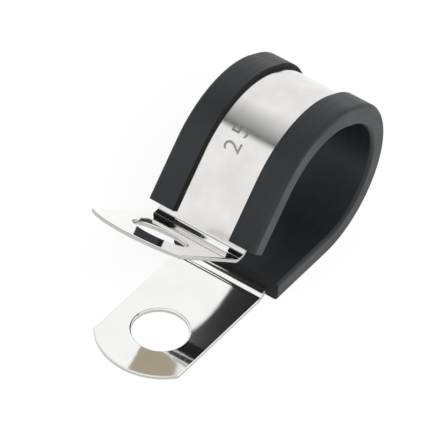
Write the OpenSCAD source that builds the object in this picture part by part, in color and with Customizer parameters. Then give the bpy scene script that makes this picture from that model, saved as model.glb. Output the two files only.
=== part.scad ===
// Rubber lined P clip: one stainless steel band, bent into an open loop with
// two drilled feet, and one rubber channel that wraps the band round the loop.
// Frame: the origin is the centre of the lower foot's hole, on the foot's
// underside. +Z is up, the foot's round end points to -X, the loop lies
// towards +X, and Y runs across the band.

/* [Band] */
// Width of the steel band
band_w = 19; // [16:0.5:24]
// Thickness of the steel band
band_t = 0.8; // [0.6:0.1:1.2]
// Diameter of the hole in each foot
hole_d = 10.5; // [6.5:0.1:11]
// Radius of the round end of each foot
end_r = 12; // [12:0.5:15]
// Inside radius of the bend under the upper foot
bend_r = 0.8; // [0.6:0.1:2]

/* [Loop] */
// Diameter of the tube that the loop is made for
bore_d = 25; // [22:1:32]
// How far the open loop's round seat stands off the tube
seat_ease = 0.2; // [0:0.05:0.5]
// Turn of the round seat for the tube, in degrees
seat_turn = 155; // [140:1:160]
// Straight stretch between the seat and the shoulder
crown_run = 2.5; // [1:0.1:5]
// Radius of the shoulder above the upper foot, along the band's middle
shoulder_r = 17.5; // [14:0.1:20]
// Turn of the shoulder, in degrees
shoulder_turn = 75.5; // [70:0.5:85]
// Straight stretch from the joggle to the seat
floor_run = 16.3; // [14:0.1:20]
// Straight stretch from the shoulder to the upper foot's bend
upper_run = 13.2; // [12:0.1:18]

/* [Feet] */
// Distance from the lower hole to the joggle
lower_foot_run = 17.6; // [14:0.1:20]
// Slope of the joggle that lifts the band off the lower foot's plane, in degrees
joggle_turn = 40; // [30:1:45]
// Distance from the upper foot's bend to its hole
upper_foot_run = 14.7; // [13:0.1:20]
// Distance from the upper hole to the centre of the foot's round end
upper_end_shift = 2.4; // [0:0.1:4]
// Turn of the bend between the loop and the upper foot, in degrees
foot_turn = 89; // [80:1:95]

/* [Rubber] */
// Thickness of the rubber between the band and the tube
pad_t = 2.4; // [1.5:0.1:3]
// Thickness of the lips outside the band
lip_t = 0.9; // [0.8:0.1:1.5]
// Thickness of the rubber beyond each edge of the band
side_t = 2.2; // [1.5:0.1:3]
// How far each lip reaches over the band's outer face
lip_cover = 3.5; // [2:0.1:6]
// Radius of the channel's outer corners
corner_r = 0.8; // [0.4:0.1:0.8]
// Radius of the lips' free edges
lip_edge_r = 0.35; // [0.2:0.05:0.6]
// Bare stretch between the joggle and the rubber
lower_bare = 0.6; // [0.2:0.1:1]
// Bare stretch between the rubber and the upper foot's bend
upper_bare = 1.2; // [0.8:0.1:2]
// Clearance of the band in its slot in the rubber
slot_gap = 0.02; // [0.01:0.01:0.05]

/* [Hidden] */
$fn = 96;
// Facets of one rounded corner of the rubber's section
CORNER_STEPS = 4;
// Extra length that carries a cut through a face
CUT = 1;
// Each arc runs this far into its neighbours, and is this much thinner, so
// that arcs and straight stretches join as one solid
LAP = 0.04;
HAIR = 0.002;
// The rubber's underside is flush with the lower foot's underside
joggle_rise = lip_t;
// Radii along the middle of the band
seat_r = bore_d / 2 + seat_ease + pad_t + band_t / 2;
bend_mid_r = bend_r + band_t / 2;
// The joggle is one bend up, a ramp, and one bend level again
joggle_ramp = joggle_rise / sin(joggle_turn) - 2 * bend_mid_r * tan(joggle_turn / 2);

// A step of the route is [straight length, radius, turn]. A radius of 0 is a
// straight step, and a positive turn is to the left, which is into the loop.
function run(length) = [length, 0, 0];
function arc(radius, turn) = [0, radius, turn];

// Both routes share the loop, and differ in the stretches at its ends
function loop_steps(first_run, last_run) = [
    run(first_run),
    arc(seat_r, seat_turn),
    run(crown_run),
    arc(shoulder_r, shoulder_turn),
    run(last_run)
];
joggle_steps = [arc(bend_mid_r, joggle_turn), run(joggle_ramp), arc(bend_mid_r, -joggle_turn)];
band_steps = concat(
    joggle_steps,
    loop_steps(floor_run, upper_run),
    [arc(bend_mid_r, -foot_turn)]
);
liner_steps = loop_steps(floor_run - lower_bare, upper_run - upper_bare);

// A place on a route is [x, y, heading]
function ahead(at, step) =
    step[1] == 0
        ? [at[0] + step[0] * cos(at[2]), at[1] + step[0] * sin(at[2]), at[2]]
        : let (r = sign(step[2]) * step[1], out = at[2] + step[2])
            [at[0] + r * (sin(out) - sin(at[2])), at[1] - r * (cos(out) - cos(at[2])), out];
function place(start, steps, count) =
    count == 0 ? start : ahead(place(start, steps, count - 1), steps[count - 1]);

band_start = [lower_foot_run, band_t / 2, 0];
liner_start = ahead(place(band_start, joggle_steps, 3), run(lower_bare));
upper_foot_start = place(band_start, band_steps, len(band_steps));

// Points of a polygon's quarter round corner about [x, y], which starts in the
// direction from_turn and turns left
function round_corner(x, y, r, from_turn) =
    [for (i = [0 : CORNER_STEPS])
        let (a = from_turn + 90 * i / CORNER_STEPS)
            [x + r * cos(a), y + r * sin(a)]];

// Stands a route's own frame up: its plane becomes XZ, and its height -Y
module stand_up() {
    rotate([90, 0, 0]) children();
}

module move_to(at) {
    translate([at[0], at[1], 0]) rotate([0, 0, at[2]]) children();
}

// One step of a route, swept by a section whose x is the offset into the loop
// and whose y runs across the band. Child 0 is the section of the straight
// stretches, and child 1 is the arcs' section.
module sweep_step(step) {
    r = step[1];
    turn = step[2];
    lap_turn = r == 0 ? 0 : LAP / r * 180 / PI;
    if (r == 0)
        rotate([90, 0, 90]) linear_extrude(step[0]) children(0);
    else if (turn > 0)
        translate([0, r, 0]) rotate([0, 0, -90 - lap_turn])
            rotate_extrude(angle = turn + 2 * lap_turn)
                translate([r, 0]) mirror([1, 0]) children(1);
    else
        translate([0, -r, 0]) rotate([0, 0, 90 + turn - lap_turn])
            rotate_extrude(angle = 2 * lap_turn - turn)
                translate([r, 0]) children(1);
}

module sweep_route(start, steps) {
    for (i = [0 : len(steps) - 1])
        move_to(place(start, steps, i)) sweep_step(steps[i]) {
            children(0);
            children(1);
        }
}

// Both sections shrink by trim on every side
module band_section(trim = 0) {
    square([band_t - 2 * trim, band_w - 2 * trim], center = true);
}

// The C channel: a pad inside the loop, a wall round each edge of the band,
// and a lip over each side of its outer face
module liner_section(trim = 0) {
    half_w = band_w / 2 + side_t - trim;
    slot_w = band_w / 2 + slot_gap + trim;
    lip_y = band_w / 2 - lip_cover + trim;
    inner = band_t / 2 + pad_t - trim;
    outer = -band_t / 2 - lip_t + trim;
    slot_in = band_t / 2 + slot_gap + trim;
    slot_out = -band_t / 2 - slot_gap - trim;
    upper_half = concat(
        round_corner(inner - corner_r, half_w - corner_r, corner_r, 0),
        round_corner(outer + corner_r, half_w - corner_r, corner_r, 90),
        round_corner(outer + lip_edge_r, lip_y + lip_edge_r, lip_edge_r, 180),
        [[slot_out, lip_y], [slot_out, slot_w], [slot_in, slot_w]]
    );
    lower_half = [for (i = [len(upper_half) - 1 : -1 : 0]) [upper_half[i][0], -upper_half[i][1]]];
    polygon(concat(upper_half, lower_half));
}

// A foot from its joint with the band at x = 0 to its round end, which faces +X
module foot(hole_run, end_run) {
    difference() {
        union() {
            translate([0, -band_w / 2, -band_t / 2]) cube([end_run, band_w, band_t]);
            translate([end_run, 0, 0]) intersection() {
                cylinder(r = end_r, h = band_t, center = true);
                translate([end_r / 2, 0, 0]) cube([end_r, band_w, 2 * band_t], center = true);
            }
        }
        translate([hole_run, 0, 0]) cylinder(d = hole_d, h = band_t + 2 * CUT, center = true);
    }
}

module lower_foot() {
    translate([lower_foot_run, 0, band_t / 2]) rotate([0, 0, 180])
        foot(lower_foot_run, lower_foot_run);
}

module upper_foot() {
    stand_up() move_to(upper_foot_start) rotate([-90, 0, 0])
        foot(upper_foot_run, upper_foot_run + upper_end_shift);
}

module band() {
    color("silver") union() {
        lower_foot();
        stand_up() sweep_route(band_start, band_steps) {
            band_section();
            band_section(HAIR);
        }
        upper_foot();
    }
}

module liner() {
    color("#2b2d30") stand_up() sweep_route(liner_start, liner_steps) {
        liner_section();
        liner_section(HAIR);
    }
}

band();
liner();
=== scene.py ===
"""The looks of a rubber lined P clip: a bright stainless strip with two punched
feet, bent into an open loop, and a black rubber channel over the loop.
"""

import math

import bmesh
import bpy
from mathutils import Matrix, Vector


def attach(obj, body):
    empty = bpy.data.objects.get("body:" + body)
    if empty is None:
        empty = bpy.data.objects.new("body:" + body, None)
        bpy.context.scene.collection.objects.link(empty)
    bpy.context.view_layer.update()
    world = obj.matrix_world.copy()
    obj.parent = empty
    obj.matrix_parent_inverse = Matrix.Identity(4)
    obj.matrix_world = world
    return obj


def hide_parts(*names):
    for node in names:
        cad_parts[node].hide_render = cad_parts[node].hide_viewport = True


MM = 0.001

# The strip, in millimetres, as in the part's source
BAND_W = 19.0
BAND_T = 0.8
HOLE_R = 5.25
END_R = 12.0
# Radius of the bends along the strip's middle
BEND_R = 1.2
JOGGLE_TURN = 40.0
JOGGLE_RISE = 0.9
LOWER_FOOT_RUN = 17.6
UPPER_END_SHIFT = 2.4

# The heel under the upper foot. The part's source turns it in one bend. Here
# it is folded in two bends with a short level stretch between them, and ends
# on the same foot and hole.
HEEL_TURN = 50.5
HEEL_RUN = 0.96
FOOT_TURN = 38.5
UPPER_FOOT_RUN = 13.96

# The loop
SEAT_R = 15.5
SEAT_TURN = 155.0
CROWN_RUN = 2.5
SHOULDER_R = 17.5
SHOULDER_TURN = 75.5
FLOOR_RUN = 16.3
UPPER_RUN = 12.6

# The rubber
PAD_T = 2.4
LIP_T = 0.9
SIDE_T = 2.2
LIP_COVER = 3.5
CORNER_R = 0.8
LIP_EDGE_R = 0.35
LOWER_BARE = 0.6
UPPER_BARE = 0.6
SLOT_GAP = 0.02
# The small radii of the lips' inner corners and of the cut ends
LIP_INNER_R = 0.12
CUT_EDGE = 0.1

# How finely the arcs, round ends and holes are cut
FINE_STEP = 0.3
BEND_STEPS = 20
END_FACETS = 192
HOLE_FACETS = 128

# How near, in metres, a face, edge or point lies to be picked or merged
NEAR = 1e-5
MERGE = 1e-6

# A face is flat, or faces one way, where its normal's share that way is larger
FLAT_SHARE = 0.5
SIDE_SHARE = 0.7

# The rolled edges of the strip and the rims that the punch draws in
STRIP_EDGE = 0.26
STRIP_EDGE_CUTS = 5
PUNCH_LENGTH = 4.0
PUNCH_ROLL = 0.36
PUNCH_BURR = 0.06

# The stamped figures: each one, how far it lies from the heel, and its Y
FIGURES = (("2", 15.82, 1.2), ("5", 18.97, 1.4))
FIGURE_H = 3.4
# The height of a figure, as a share of the letter size
FIGURE_SHARE = 0.7
STAMP_DEPTH = 0.14
STAMP_SLOPE = 0.05
# How much thinner than print the figures' strokes are, on each side
STAMP_THIN = 0.06
# Half the height of the stamping tool
STAMP_TOOL = 1.0

# The camera: what it looks at, and where it stands from there
CAMERA_TARGET = (15.853, -1.134, 16.570)
CAMERA_TURN = -57.702
CAMERA_HEIGHT = 43.179
CAMERA_ROLL = 4.916
CAMERA_DISTANCE = 723.4
CAMERA_LENS = 325.9
CAMERA_SENSOR = 36

# The studio. Places and sizes of the lamp and the floor are in metres
FLOOR_SIZE = 6
FLOOR_DROP = 0.02
# The share of the floor's white that the shadow leaves alone
FLOOR_GLOW = 0.85
# The painted shadow card: a glowing warm grey sheet in place of the floor's shade beside the
# lower foot, seen only in reflections
PAINTED_SHADOW_CARD_PLACE = (-2, 22)
PAINTED_SHADOW_CARD_SIZE = (28, 24)
KEY_PLACE = (-0.35, -0.45, 0.7)
KEY_AIM = (0.02, 0, 0.015)
KEY_SIZE = (0.5, 0.5)
KEY_POWER = 6
DAYLIGHT = 0.75

# The tent's roof along X, from -X to +X, as brightness. It starts to show at
# the first of the two heights, and is all that shows above the second
ROOF = ((0.0, 1.0), (0.34, 1.0), (0.39, 0.12), (0.44, 0.35), (0.70, 1.0), (0.78, 0.96))
ROOF_HEIGHTS = (0.55, 0.75)

# Noise mostly lies between these
NOISE_LOW = 0.3
NOISE_HIGH = 0.7


# ---------------------------------------------------------------- hand tools


def deselect():
    if bpy.context.mode != "OBJECT":
        bpy.ops.object.mode_set(mode="OBJECT")
    bpy.ops.object.select_all(action="DESELECT")


def make_active(obj):
    deselect()
    obj.select_set(True)
    bpy.context.view_layer.objects.active = obj


def edit(obj, kind="FACE"):
    make_active(obj)
    bpy.ops.object.mode_set(mode="EDIT")
    bpy.ops.mesh.select_mode(type=kind)
    bpy.ops.mesh.select_all(action="DESELECT")


def select_faces(obj, test):
    mesh = bmesh.from_edit_mesh(obj.data)
    for face in mesh.faces:
        face.select_set(bool(test(face)))
    mesh.select_flush_mode()
    bmesh.update_edit_mesh(obj.data)


def select_edges(obj, test):
    mesh = bmesh.from_edit_mesh(obj.data)
    for edge in mesh.edges:
        edge.select_set(bool(test(edge)))
    bmesh.update_edit_mesh(obj.data)


def select_points(obj, test):
    mesh = bmesh.from_edit_mesh(obj.data)
    for point in mesh.verts:
        point.select_set(bool(test(point)))
    mesh.select_flush_mode()
    bmesh.update_edit_mesh(obj.data)


def apply_place(obj):
    make_active(obj)
    bpy.ops.object.transform_apply(location=True, rotation=True, scale=True)


def apply_modifier(obj, kind, **settings):
    make_active(obj)
    modifier = obj.modifiers.new(kind.title(), kind)
    for name, value in settings.items():
        setattr(modifier, name, value)
    bpy.ops.object.modifier_apply(modifier=modifier.name)
    if not obj.data.polygons:
        raise RuntimeError(f"{kind} left nothing of {obj.name}")


def close_up(obj):
    """Merges doubled points and turns all faces outwards."""
    edit(obj)
    bpy.ops.mesh.select_all(action="SELECT")
    bpy.ops.mesh.remove_doubles(threshold=MERGE)
    bpy.ops.mesh.normals_make_consistent(inside=False)
    bpy.ops.object.mode_set(mode="OBJECT")


def finish_shading(obj, angle):
    """Smooth over the arcs and rounded edges, flat over the flat faces."""
    make_active(obj)
    bpy.ops.object.shade_smooth_by_angle(angle=math.radians(angle))
    apply_modifier(obj, "WEIGHTED_NORMAL", mode="FACE_AREA", weight=100, keep_sharp=True)


# ---------------------------------------------------------------- the route


def run(length):
    """A straight step."""
    return (length * MM, 0.0, 0.0)


def arc(radius, turn):
    """A bend. A positive turn is to the left, which is into the loop."""
    return (0.0, radius * MM, math.radians(turn))


def ahead(place, step):
    """The place (x, z, heading) that a step of the route leads to."""
    x, z, heading = place
    length, radius, turn = step
    if radius == 0:
        return (x + length * math.cos(heading), z + length * math.sin(heading), heading)
    side = math.copysign(radius, turn)
    out = heading + turn
    x += side * (math.sin(out) - math.sin(heading))
    z -= side * (math.cos(out) - math.cos(heading))
    return (x, z, out)


def follow(place, steps):
    for step in steps:
        place = ahead(place, step)
    return place


def joggle_steps():
    turn = math.radians(JOGGLE_TURN)
    ramp = JOGGLE_RISE / math.sin(turn) - 2 * BEND_R * math.tan(turn / 2)
    return [arc(BEND_R, JOGGLE_TURN), run(ramp), arc(BEND_R, -JOGGLE_TURN)]


def loop_steps(first_run, last_run):
    return [
        run(first_run),
        arc(SEAT_R, SEAT_TURN),
        run(CROWN_RUN),
        arc(SHOULDER_R, SHOULDER_TURN),
        run(last_run),
    ]


def heel_steps():
    return [arc(BEND_R, -HEEL_TURN), run(HEEL_RUN), arc(BEND_R, -FOOT_TURN)]


BAND_START = (LOWER_FOOT_RUN * MM, BAND_T / 2 * MM, 0.0)
LOOP_START = follow(BAND_START, joggle_steps())
HEEL_START = follow(LOOP_START, loop_steps(FLOOR_RUN, UPPER_RUN))
FOOT_START = follow(HEEL_START, heel_steps())
UPPER_HOLE = ahead(FOOT_START, run(UPPER_FOOT_RUN))
UPPER_END = ahead(UPPER_HOLE, run(UPPER_END_SHIFT))


def carry(steps, place):
    """Carries the selected end face along the steps by extrude and spin."""
    for step in steps:
        length, radius, turn = step
        x, z, heading = place
        if radius == 0:
            move = (length * math.cos(heading), 0.0, length * math.sin(heading))
            bpy.ops.mesh.extrude_region_move(TRANSFORM_OT_translate={"value": move})
        else:
            side = math.copysign(radius, turn)
            centre = (x - side * math.sin(heading), 0.0, z + side * math.cos(heading))
            cuts = max(BEND_STEPS, round(abs(radius * turn) / (FINE_STEP * MM)))
            bpy.ops.mesh.spin(steps=cuts, angle=turn, center=centre, axis=(0, 1, 0))
        place = ahead(place, step)
    return place


# ---------------------------------------------------------------- the strip


def round_end(name, place):
    """Half a blanked disc with straight sides, its flat end at the place."""
    deselect()
    bpy.ops.mesh.primitive_cylinder_add(
        vertices=END_FACETS, radius=END_R * MM, depth=BAND_T * MM, end_fill_type="NGON"
    )
    obj = bpy.context.object
    obj.name = name
    half = BAND_W / 2 * MM
    edit(obj)
    cuts = [((0, half, 0), (0, 1, 0)), ((0, -half, 0), (0, -1, 0)), ((0, 0, 0), (1, 0, 0))]
    for point, outward in cuts:
        bpy.ops.mesh.select_all(action="SELECT")
        bpy.ops.mesh.bisect(plane_co=point, plane_no=outward, use_fill=True, clear_outer=True)
    bpy.ops.object.mode_set(mode="OBJECT")
    x, z, heading = place
    obj.location = (x, 0, z)
    obj.rotation_euler = (0, -heading, 0)
    apply_place(obj)
    return obj


def end_face(obj, place):
    """Selects the flat face that stands across the route at the place."""
    x, z, heading = place
    along = Vector((math.cos(heading), 0, math.sin(heading)))
    spot = Vector((x, 0, z))

    def here(face):
        square = abs(face.normal.dot(along)) > 0.999
        return square and abs((face.calc_center_median() - spot).dot(along)) < NEAR

    edit(obj)
    select_faces(obj, here)


def punch(obj, place, side):
    """Punches a foot's hole, which draws in the rim on one side of the strip."""
    x, z, heading = place
    deselect()
    bpy.ops.mesh.primitive_cylinder_add(
        vertices=HOLE_FACETS, radius=HOLE_R * MM, depth=PUNCH_LENGTH * MM, location=(x, 0, z)
    )
    tool = bpy.context.object
    tool.rotation_euler = (0, -heading, 0)
    apply_place(tool)
    apply_modifier(obj, "BOOLEAN", operation="DIFFERENCE", solver="EXACT", object=tool)
    bpy.data.objects.remove(tool)
    up = Vector((-math.sin(heading), 0, math.cos(heading)))
    spot = Vector((x, 0, z))
    for face_side, width, cuts in ((side, PUNCH_ROLL, 6), (-side, PUNCH_BURR, 2)):

        def on_rim(edge):
            for point in edge.verts:
                away = point.co - spot
                height = away.dot(up)
                radius = (away - up * height).length
                if abs(radius - HOLE_R * MM) > NEAR:
                    return False
                if abs(height - face_side * BAND_T / 2 * MM) > NEAR:
                    return False
            return True

        edit(obj, "EDGE")
        select_edges(obj, on_rim)
        bpy.ops.mesh.bevel(offset=width * MM, segments=cuts, profile=0.5, affect="EDGES")
        bpy.ops.object.mode_set(mode="OBJECT")


def stamp(obj, figure, along, across, finish):
    """Sinks one figure into the loop's outer face. along is the distance from
    the heel, and across is the figure's middle in Y."""
    if along <= UPPER_RUN:
        back = loop_steps(FLOOR_RUN, UPPER_RUN - along)
    else:
        turn = SHOULDER_TURN - math.degrees((along - UPPER_RUN) / SHOULDER_R)
        back = loop_steps(FLOOR_RUN, UPPER_RUN)[:3] + [arc(SHOULDER_R, turn)]
    x, z, heading = follow(LOOP_START, back)
    deselect()
    bpy.ops.object.text_add()
    text = bpy.context.object
    text.data.body = figure
    text.data.size = FIGURE_H * MM / FIGURE_SHARE
    text.data.align_x = "CENTER"
    text.data.align_y = "CENTER"
    text.data.resolution_u = 6
    text.data.offset = -STAMP_THIN * MM
    text.data.bevel_depth = STAMP_SLOPE * MM
    text.data.bevel_resolution = 0
    text.data.extrude = STAMP_TOOL * MM
    bpy.ops.object.convert(target="MESH")
    outward = Vector((math.sin(heading), 0, -math.cos(heading)))
    reading = Vector((-math.cos(heading), 0, -math.sin(heading)))
    upright = outward.cross(reading)
    turn = Matrix((reading, upright, outward)).transposed().to_4x4()
    depth = BAND_T / 2 - STAMP_DEPTH
    lift = (depth + STAMP_TOOL + STAMP_SLOPE) * MM
    spot = Vector((x, across * MM, z)) + outward * lift
    text.matrix_world = Matrix.Translation(spot) @ turn
    apply_place(text)
    close_up(text)
    text.data.materials.clear()
    text.data.materials.append(finish)
    apply_modifier(
        obj,
        "BOOLEAN",
        operation="DIFFERENCE",
        solver="EXACT",
        object=text,
        material_mode="TRANSFER",
    )
    bpy.data.objects.remove(text)


def steel_band():
    """The whole strip: swept from foot to foot, its edges rounded, then punched."""
    obj = round_end("steel_band", (0.0, BAND_T / 2 * MM, 0.0))
    end_face(obj, (0.0, BAND_T / 2 * MM, 0.0))
    steps = [run(LOWER_FOOT_RUN)] + joggle_steps()
    steps += loop_steps(FLOOR_RUN, UPPER_RUN) + heel_steps()
    steps += [run(UPPER_FOOT_RUN + UPPER_END_SHIFT)]
    carry(steps, (0.0, BAND_T / 2 * MM, 0.0))
    bpy.ops.mesh.delete(type="FACE")
    tip = round_end("upper_end", (UPPER_END[0], UPPER_END[1], UPPER_END[2] + math.pi))
    end_face(tip, UPPER_END)
    bpy.ops.mesh.delete(type="FACE")
    make_active(obj)
    tip.select_set(True)
    bpy.ops.object.join()
    close_up(obj)
    apply_modifier(
        obj,
        "BEVEL",
        width=STRIP_EDGE * MM,
        segments=STRIP_EDGE_CUTS,
        limit_method="ANGLE",
        angle_limit=math.radians(60),
    )
    punch(obj, (0.0, BAND_T / 2 * MM, 0.0), 1)
    punch(obj, UPPER_HOLE, -1)
    return obj


def share_finishes(obj):
    """Marks the faces: 0 for the bright feet, 1 for the satin loop, and 2 where the strip was
    sheared or punched, whose duller grey is partly painted shade."""
    upper = Vector((-math.sin(UPPER_HOLE[2]), 0, math.cos(UPPER_HOLE[2])))
    for face in obj.data.polygons:
        x, _, z = face.center
        if z < BAND_T * MM and x < BAND_START[0]:
            flat, finish = abs(face.normal.z) > FLAT_SHARE, 0
        elif z > 2 * BAND_T * MM and x < FOOT_START[0]:
            flat, finish = abs(face.normal.dot(upper)) > FLAT_SHARE, 0
        else:
            in_loop = x > LOOP_START[0] or z > HEEL_START[1]
            flat, finish = abs(face.normal.y) < SIDE_SHARE, 1 if in_loop else 0
        face.material_index = finish if flat else 2


# ---------------------------------------------------------------- the rubber


def channel_section(place):
    """The channel's section as one flat face across the route at the place."""
    x, z, heading = place
    slot_in = (BAND_T / 2 + SLOT_GAP) * MM
    inner = (BAND_T / 2 + PAD_T) * MM
    outer = -(BAND_T / 2 + LIP_T) * MM
    half = (BAND_W / 2 + SIDE_T) * MM
    slot_half = (BAND_W / 2 + SLOT_GAP) * MM
    cover = (LIP_COVER + SLOT_GAP) * MM
    deselect()
    bpy.ops.mesh.primitive_plane_add(
        size=1, location=(x, 0, z + (inner + slot_in) / 2), rotation=(0, math.pi / 2, 0)
    )
    obj = bpy.context.object
    obj.name = "rubber_liner"
    obj.scale = (inner - slot_in, 2 * half, 1)
    apply_place(obj)
    edit(obj, "EDGE")
    for side in (1, -1):
        bpy.ops.mesh.select_all(action="SELECT")
        bpy.ops.mesh.bisect(plane_co=(0, side * slot_half, 0), plane_no=(0, side, 0))
    for side in (1, -1):
        level = z + slot_in
        select_edges(
            obj,
            lambda e: all(
                abs(p.co.z - level) < MERGE and side * p.co.y > slot_half - MERGE for p in e.verts
            ),
        )
        for depth in (2 * slot_in, -slot_in - outer):
            bpy.ops.mesh.extrude_region_move(TRANSFORM_OT_translate={"value": (0, 0, -depth)})
        select_edges(
            obj,
            lambda e: all(
                abs(side * p.co.y - slot_half) < MERGE and p.co.z < z - slot_in + MERGE
                for p in e.verts
            ),
        )
        bpy.ops.mesh.extrude_region_move(
            TRANSFORM_OT_translate={"value": (0, -side * cover, 0)}
        )
    bpy.ops.mesh.select_all(action="SELECT")
    bpy.ops.mesh.remove_doubles(threshold=MERGE)
    bpy.ops.mesh.dissolve_limited(angle_limit=math.radians(1))
    edit(obj, "VERT")
    select_points(obj, lambda p: abs(abs(p.co.y) - half) < MERGE)
    bpy.ops.mesh.bevel(offset=CORNER_R * MM, segments=10, affect="VERTICES")
    lip = slot_half - cover
    select_points(obj, lambda p: abs(abs(p.co.y) - lip) < MERGE and p.co.z < z - slot_in - NEAR)
    bpy.ops.mesh.bevel(offset=LIP_EDGE_R * MM, segments=6, affect="VERTICES")
    select_points(obj, lambda p: abs(abs(p.co.y) - lip) < MERGE and p.co.z > z - slot_in - NEAR)
    bpy.ops.mesh.bevel(offset=LIP_INNER_R * MM, segments=3, affect="VERTICES")
    return obj


def rubber_liner():
    """The channel, swept round the loop, with its cut ends' edges eased."""
    start = ahead(LOOP_START, run(LOWER_BARE))
    obj = channel_section(start)
    edit(obj)
    bpy.ops.mesh.select_all(action="SELECT")
    carry(loop_steps(FLOOR_RUN - LOWER_BARE, UPPER_RUN - UPPER_BARE), start)
    close_up(obj)
    apply_modifier(
        obj,
        "BEVEL",
        width=CUT_EDGE * MM,
        segments=2,
        limit_method="ANGLE",
        angle_limit=math.radians(70),
    )
    return obj


def share_skins(obj):
    """Marks the faces: 0 for the extruded skin, and 1 for the cut ends and the lips' inner walls,
    which are matt and painted near black as painted shade."""
    lip = (BAND_W / 2 - LIP_COVER + LIP_EDGE_R) * MM
    first = ahead(LOOP_START, run(LOWER_BARE))
    last = follow(first, loop_steps(FLOOR_RUN - LOWER_BARE, UPPER_RUN - UPPER_BARE))
    for face in obj.data.polygons:
        facing_in = face.normal.y * face.center.y < 0 and abs(face.normal.y) > 0.3
        in_lip = facing_in and abs(face.center.y) < lip
        cut = False
        for x, z, heading in (first, last):
            along = Vector((math.cos(heading), 0, math.sin(heading)))
            near = (face.center - Vector((x, face.center.y, z))).dot(along)
            cut = cut or (abs(face.normal.dot(along)) > 0.8 and abs(near) < LIP_INNER_R * MM)
        face.material_index = 1 if in_lip or cut else 0


# ---------------------------------------------------------------- materials


def colour(code):
    """A sRGB hex colour as linear red, green, blue and alpha."""
    parts = [int(code[i : i + 2], 16) / 255 for i in (1, 3, 5)]
    linear = [c / 12.92 if c <= 0.04045 else ((c + 0.055) / 1.055) ** 2.4 for c in parts]
    return (*linear, 1.0)


def add(tree, kind, links=None, stops=None, **settings):
    """Adds a node, sets its properties, fills its inputs and its ramp."""
    node = tree.nodes.new(kind)
    for name, value in settings.items():
        setattr(node, name, value)
    for name, value in (links or {}).items():
        if isinstance(value, bpy.types.NodeSocket):
            tree.links.new(value, node.inputs[name])
        else:
            node.inputs[name].default_value = value
    if stops:
        ramp = node.color_ramp.elements
        while len(ramp) < len(stops):
            ramp.new(0.5)
        for element, (position, shade) in zip(ramp, stops):
            element.position = position
            element.color = shade
    return node


def new_material(name):
    material = bpy.data.materials.new(name)
    material.use_nodes = True
    tree = material.node_tree
    tree.nodes.clear()
    return material, tree


def rolled_stainless(name, shades, rough_low, rough_high, grain_strength):
    """Cold rolled stainless strip. Rolling leaves a bright face with fine
    straight grain along the strip, which blurs reflections across it only."""
    material, tree = new_material(name)
    place = add(tree, "ShaderNodeTexCoord").outputs["Object"]
    # Roll marks are some hundredths wide: drawn at 0.15 mm, so that they show
    across = add(
        tree, "ShaderNodeMapping", {"Vector": place, "Scale": (60, 6500, 60)}
    ).outputs["Vector"]
    grain = add(
        tree, "ShaderNodeTexNoise", {"Vector": across, "Scale": 1.0, "Detail": 3.0}
    ).outputs["Fac"]
    broad = add(
        tree, "ShaderNodeTexNoise", {"Vector": place, "Scale": 180.0, "Detail": 2.0}
    ).outputs["Fac"]
    rough = add(
        tree,
        "ShaderNodeMapRange",
        {
            "Value": grain,
            "From Min": NOISE_LOW,
            "From Max": NOISE_HIGH,
            "To Min": rough_low,
            "To Max": rough_high,
        },
    ).outputs["Result"]
    tint = add(
        tree,
        "ShaderNodeValToRGB",
        {"Fac": broad},
        stops=[(NOISE_LOW, colour(shades[0])), (NOISE_HIGH, colour(shades[1]))],
    ).outputs["Color"]
    bump = add(
        tree,
        "ShaderNodeBump",
        {"Height": grain, "Strength": grain_strength, "Distance": 0.02 * MM},
    ).outputs["Normal"]
    shader = add(
        tree,
        "ShaderNodeBsdfPrincipled",
        {"Base Color": tint, "Metallic": 1.0, "Roughness": rough, "Normal": bump},
    )
    add(tree, "ShaderNodeOutputMaterial", {"Surface": shader.outputs["BSDF"]})
    return material


def worked_stainless_painted_shade(name, shade, roughness):
    """Stainless strip where a tool has sheared, punched or stamped it. Where sheared or punched
    the rolled face is torn off, which leaves it duller; its greyer colour there is partly that
    and partly painted shade, and in the stamped grooves it is painted shade."""
    material, tree = new_material(name)
    place = add(tree, "ShaderNodeTexCoord").outputs["Object"]
    # Tears across the edge, 0.2 mm apart
    tears = add(
        tree, "ShaderNodeTexNoise", {"Vector": place, "Scale": 5000.0, "Detail": 2.0}
    ).outputs["Fac"]
    bump = add(
        tree, "ShaderNodeBump", {"Height": tears, "Strength": 0.3, "Distance": 0.02 * MM}
    ).outputs["Normal"]
    shader = add(
        tree,
        "ShaderNodeBsdfPrincipled",
        {"Base Color": colour(shade), "Metallic": 1.0, "Roughness": roughness, "Normal": bump},
    )
    add(tree, "ShaderNodeOutputMaterial", {"Surface": shader.outputs["BSDF"]})
    return material


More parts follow.
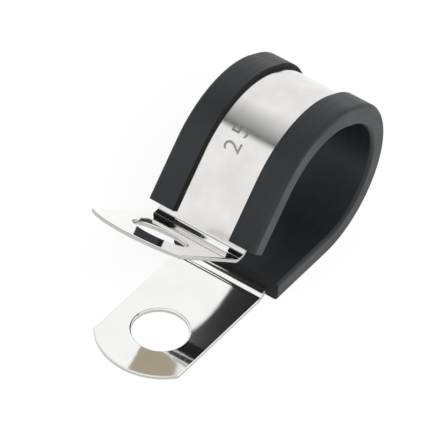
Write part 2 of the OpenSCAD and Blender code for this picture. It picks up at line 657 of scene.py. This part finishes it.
def extruded_rubber(name, shades, rough_low, rough_high):
    """Black EPDM rubber, extruded: a dull skin with faint die lines along it
    and a fine even tooth, a little greyer where the skin is rubbed."""
    material, tree = new_material(name)
    place = add(tree, "ShaderNodeTexCoord").outputs["Object"]
    # Die lines 0.4 mm apart along the channel
    across = add(
        tree, "ShaderNodeMapping", {"Vector": place, "Scale": (90, 2500, 90)}
    ).outputs["Vector"]
    lines = add(
        tree, "ShaderNodeTexNoise", {"Vector": across, "Scale": 1.0, "Detail": 2.0}
    ).outputs["Fac"]
    # The skin's tooth, 0.25 mm
    tooth = add(
        tree, "ShaderNodeTexNoise", {"Vector": place, "Scale": 4000.0, "Detail": 2.0}
    ).outputs["Fac"]
    cloud = add(
        tree, "ShaderNodeTexNoise", {"Vector": place, "Scale": 120.0, "Detail": 3.0}
    ).outputs["Fac"]
    tint = add(
        tree,
        "ShaderNodeValToRGB",
        {"Fac": cloud},
        stops=[(NOISE_LOW, colour(shades[0])), (NOISE_HIGH, colour(shades[1]))],
    ).outputs["Color"]
    rough = add(
        tree,
        "ShaderNodeMapRange",
        {
            "Value": lines,
            "From Min": NOISE_LOW,
            "From Max": NOISE_HIGH,
            "To Min": rough_low,
            "To Max": rough_high,
        },
    ).outputs["Result"]
    skin = add(
        tree, "ShaderNodeMath", {0: lines, 1: tooth}, operation="ADD"
    ).outputs["Value"]
    bump = add(
        tree, "ShaderNodeBump", {"Height": skin, "Strength": 0.25, "Distance": 0.03 * MM}
    ).outputs["Normal"]
    shader = add(
        tree,
        "ShaderNodeBsdfPrincipled",
        {"Base Color": tint, "Roughness": rough, "IOR": 1.5, "Normal": bump},
    )
    add(tree, "ShaderNodeOutputMaterial", {"Surface": shader.outputs["BSDF"]})
    return material


# ---------------------------------------------------------------- the studio


def camera():
    """A long lens, three quarters from above the feet."""
    target = Vector(CAMERA_TARGET) * MM
    azimuth = math.radians(CAMERA_TURN)
    elevation = math.radians(CAMERA_HEIGHT)
    roll = math.radians(CAMERA_ROLL)
    distance = CAMERA_DISTANCE * MM
    back = Vector(
        (
            math.sin(azimuth) * math.cos(elevation),
            -math.cos(azimuth) * math.cos(elevation),
            math.sin(elevation),
        )
    )
    level = Vector((math.cos(azimuth), math.sin(azimuth), 0))
    upright = back.cross(level)
    right = level * math.cos(roll) + upright * math.sin(roll)
    up = back.cross(right)
    data = bpy.data.cameras.new("camera")
    data.sensor_width = CAMERA_SENSOR
    data.lens = CAMERA_LENS
    data.clip_start = 0.01
    data.clip_end = 20
    obj = bpy.data.objects.new("camera", data)
    bpy.context.scene.collection.objects.link(obj)
    turn = Matrix((right, up, back)).transposed().to_4x4()
    obj.matrix_world = Matrix.Translation(target + back * distance) @ turn
    bpy.context.scene.camera = obj


def soft_box(name, place, target, size, power):
    data = bpy.data.lights.new(name, "AREA")
    data.shape = "RECTANGLE"
    data.size = size[0]
    data.size_y = size[1]
    data.energy = power
    obj = bpy.data.objects.new(name, data)
    bpy.context.scene.collection.objects.link(obj)
    obj.location = place
    aim = Vector(target) - Vector(place)
    obj.rotation_euler = aim.to_track_quat("-Z", "Y").to_euler()
    return obj


def floor():
    deselect()
    bpy.ops.mesh.primitive_plane_add(size=FLOOR_SIZE, location=(0, 0, -FLOOR_DROP * MM))
    obj = bpy.context.object
    obj.name = "floor"
    material, tree = new_material("white_sweep_paper")
    path = add(tree, "ShaderNodeLightPath")
    seen = add(
        tree,
        "ShaderNodeMath",
        {0: path.outputs["Is Camera Ray"], 1: path.outputs["Is Glossy Ray"]},
        operation="MAXIMUM",
    ).outputs["Value"]
    paper = add(
        tree, "ShaderNodeBsdfDiffuse", {"Color": colour("#f4f4f3"), "Roughness": 0.4}
    ).outputs["BSDF"]
    glow = add(
        tree, "ShaderNodeEmission", {"Color": (1, 1, 1, 1), "Strength": 1.0}
    ).outputs["Emission"]
    share = add(
        tree, "ShaderNodeMath", {0: seen, 1: FLOOR_GLOW}, operation="MULTIPLY"
    ).outputs["Value"]
    mix = add(
        tree, "ShaderNodeMixShader", {"Fac": share, 1: paper, 2: glow}
    ).outputs["Shader"]
    add(tree, "ShaderNodeOutputMaterial", {"Surface": mix})
    obj.data.materials.append(material)


def painted_shadow_card():
    """A glowing warm grey card on the floor beside the lower foot, a painted shadow that stands
    in for the floor's shade there. Only mirrors see it, and it gives the foot's tip its beige
    reflection, a painted reflection of that shade."""
    deselect()
    x, y = PAINTED_SHADOW_CARD_PLACE
    bpy.ops.mesh.primitive_plane_add(size=1, location=(x * MM, y * MM, 0))
    obj = bpy.context.object
    obj.name = "painted_shadow_card"
    length, width = PAINTED_SHADOW_CARD_SIZE
    obj.scale = (length * MM, width * MM, 1)
    apply_place(obj)
    material, tree = new_material("painted_floor_shadow_glow")
    # Painted floor shadow: a warm grey glow in place of the shade
    glow = add(tree, "ShaderNodeEmission", {"Color": colour("#aea591"), "Strength": 1.0})
    add(tree, "ShaderNodeOutputMaterial", {"Surface": glow.outputs["Emission"]})
    obj.data.materials.append(material)
    obj.visible_camera = False
    obj.visible_diffuse = False
    obj.visible_shadow = False


def surroundings():
    """A white tent round the clip. Metal sees a dark seam between the tent's
    back wall and its roof, and the roof's soft shading beyond it."""
    world = bpy.data.worlds.new("white_tent")
    world.use_nodes = True
    tree = world.node_tree
    tree.nodes.clear()
    bpy.context.scene.world = world
    path = add(tree, "ShaderNodeLightPath")
    way = add(tree, "ShaderNodeTexCoord").outputs["Generated"]
    parts = add(tree, "ShaderNodeSeparateXYZ", {"Vector": way})
    position = add(
        tree,
        "ShaderNodeMapRange",
        {"Value": parts.outputs["X"], "From Min": -1.0, "From Max": 1.0},
    ).outputs["Result"]
    roof = add(
        tree,
        "ShaderNodeValToRGB",
        {"Fac": position},
        stops=[(position, (level, level, level, 1)) for position, level in ROOF],
    ).outputs["Color"]
    height = add(
        tree,
        "ShaderNodeMapRange",
        {
            "Value": parts.outputs["Z"],
            "From Min": ROOF_HEIGHTS[0],
            "From Max": ROOF_HEIGHTS[1],
        },
    ).outputs["Result"]
    tent = add(
        tree, "ShaderNodeMixRGB", {"Fac": height, "Color1": (1, 1, 1, 1), "Color2": roof}
    ).outputs["Color"]
    glossy = add(tree, "ShaderNodeBackground", {"Color": tent})
    plain = add(tree, "ShaderNodeBackground", {"Color": (1, 1, 1, 1), "Strength": DAYLIGHT})
    white = add(tree, "ShaderNodeBackground", {"Color": (1, 1, 1, 1), "Strength": 1.0})
    first = add(
        tree,
        "ShaderNodeMixShader",
        {
            "Fac": path.outputs["Is Glossy Ray"],
            1: plain.outputs["Background"],
            2: glossy.outputs["Background"],
        },
    ).outputs["Shader"]
    last = add(
        tree,
        "ShaderNodeMixShader",
        {"Fac": path.outputs["Is Camera Ray"], 1: first, 2: white.outputs["Background"]},
    ).outputs["Shader"]
    add(tree, "ShaderNodeOutputWorld", {"Surface": last})


# ---------------------------------------------------------------- the scene


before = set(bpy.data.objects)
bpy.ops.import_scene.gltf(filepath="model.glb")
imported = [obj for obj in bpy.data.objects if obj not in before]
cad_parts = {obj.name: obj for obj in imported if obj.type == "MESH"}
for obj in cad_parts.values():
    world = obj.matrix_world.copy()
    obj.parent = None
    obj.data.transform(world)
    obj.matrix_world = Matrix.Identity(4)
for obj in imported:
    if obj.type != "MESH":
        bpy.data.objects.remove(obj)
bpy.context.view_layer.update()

camera()

band = steel_band()
band.data.materials.clear()
for finish in (
    rolled_stainless("bright_rolled_stainless", ("#f6f5f4", "#f9f9f8"), 0.04, 0.07, 0.06),
    rolled_stainless("satin_rolled_stainless", ("#dfdedc", "#ebeae8"), 0.09, 0.17, 0.3),
    # Sheared and punched edges: a duller grey, partly real and partly painted shade of the
    # shadowed floor they mirror
    worked_stainless_painted_shade("sheared_stainless_painted_shade", "#c2c1be", 0.34),
):
    band.data.materials.append(finish)
share_finishes(band)
# The stamped grooves' grey is painted shade: a darker colour for the shade in the recess
groove_painted_shade = worked_stainless_painted_shade("stamped_stainless_painted_shade", "#a3a3a2", 0.45)
for figure, along, across in FIGURES:
    stamp(band, figure, along, across, groove_painted_shade)
finish_shading(band, 34)
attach(band, "root")
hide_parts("band")

liner = rubber_liner()
finish_shading(liner, 34)
liner.data.materials.clear()
for finish in (
    extruded_rubber("extruded_epdm_rubber", ("#0d1014", "#14181d"), 0.42, 0.54),
    # A darker copy of the rubber: painted shade on the lips' inner walls and the cut ends, which
    # are also matt where cut
    extruded_rubber("cut_epdm_rubber_painted_shade", ("#040405", "#08080a"), 0.75, 0.85),
):
    liner.data.materials.append(finish)
share_skins(liner)
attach(liner, "root")
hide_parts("liner")

floor()
painted_shadow_card()
surroundings()
key = soft_box("key", KEY_PLACE, KEY_AIM, KEY_SIZE, KEY_POWER)
key.visible_glossy = False
bpy.context.scene.view_settings.view_transform = "Standard"
